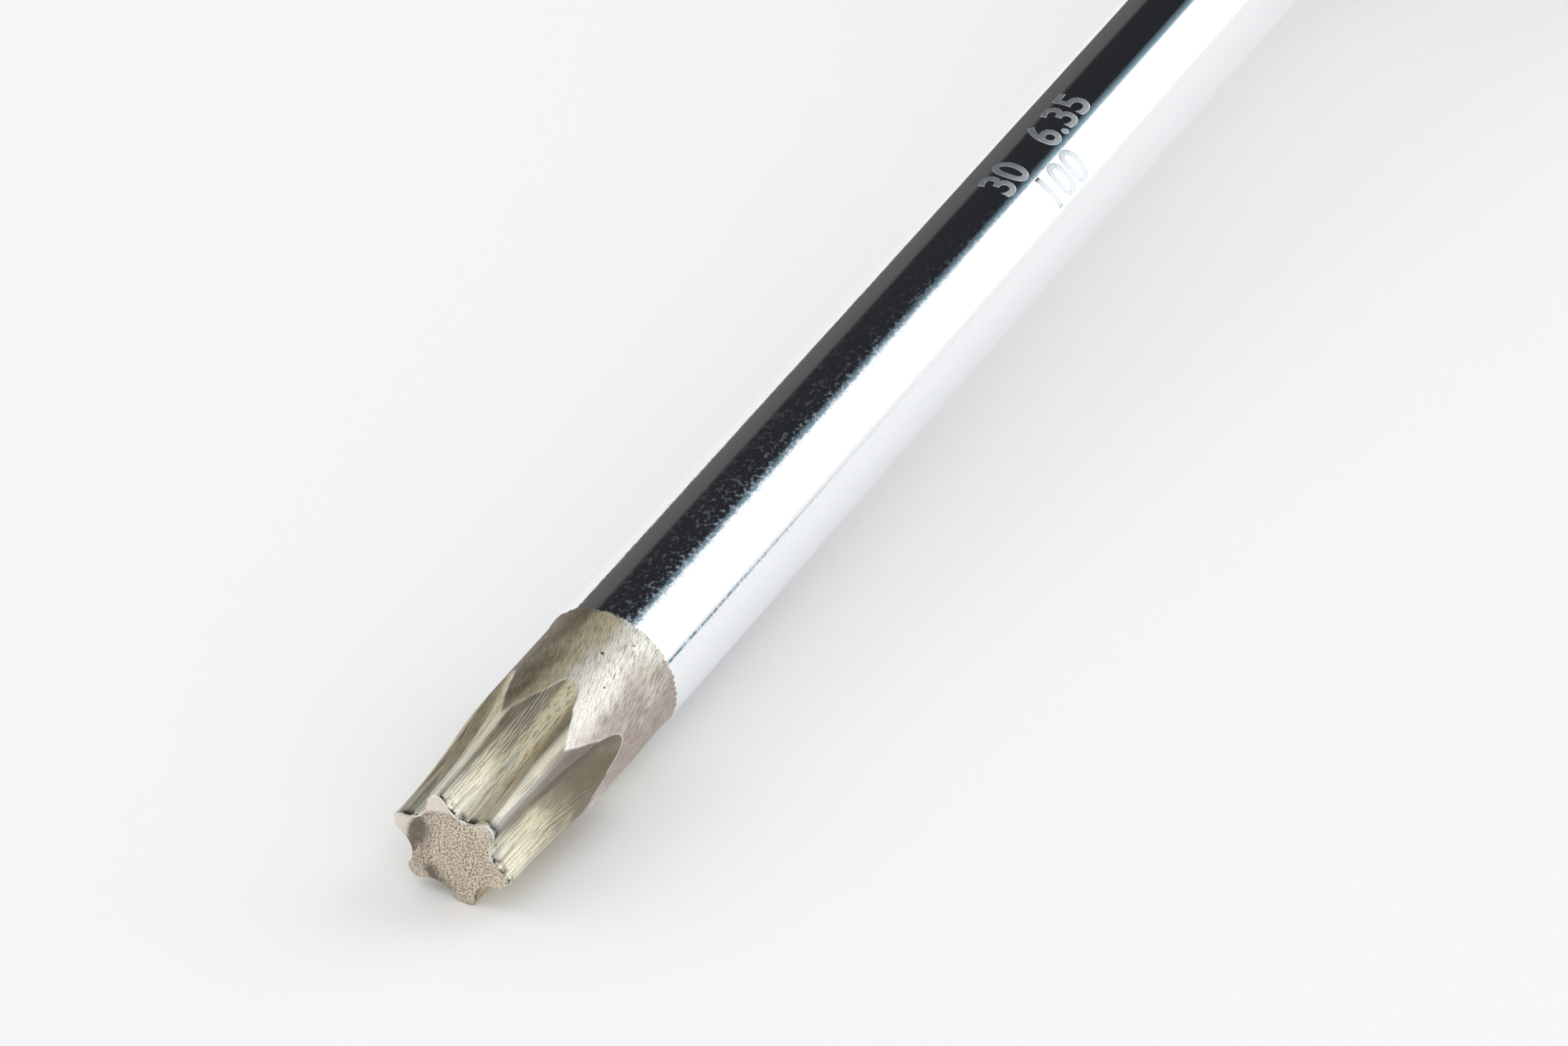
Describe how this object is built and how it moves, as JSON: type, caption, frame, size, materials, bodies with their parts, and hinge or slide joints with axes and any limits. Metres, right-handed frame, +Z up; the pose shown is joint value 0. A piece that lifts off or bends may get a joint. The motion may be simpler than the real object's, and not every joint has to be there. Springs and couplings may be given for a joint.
{
  "type": "torx screwdriver",
  "caption": "Fixed-blade screwdriver for six-lobe screws: plated round shank with a bare milled tip, in a two-component handle with a hanging hole.",
  "frame": {"origin": "centre of the flat tip face", "axes": "+X along the blade from the tip face to the butt, +Z up with one flat of the handle underneath, +Y along the hanging hole"},
  "size_m": [0.208, 0.033, 0.0304],
  "materials": {
    "plated_steel": "bright plated shank with a bare ground and milled tip",
    "core_plastic": "as moulded",
    "body_plastic": "fine moulded satin",
    "soft_grip": "soft matt, fine grain",
    "cap_plastic": "fine moulded satin"
  },
  "bodies": {
    "root": {"blade": "plated_steel", "tang_core": "core_plastic", "handle_body": "body_plastic", "soft_grip": "soft_grip", "end_cap": "cap_plastic"}
  },
  "joints": []
}
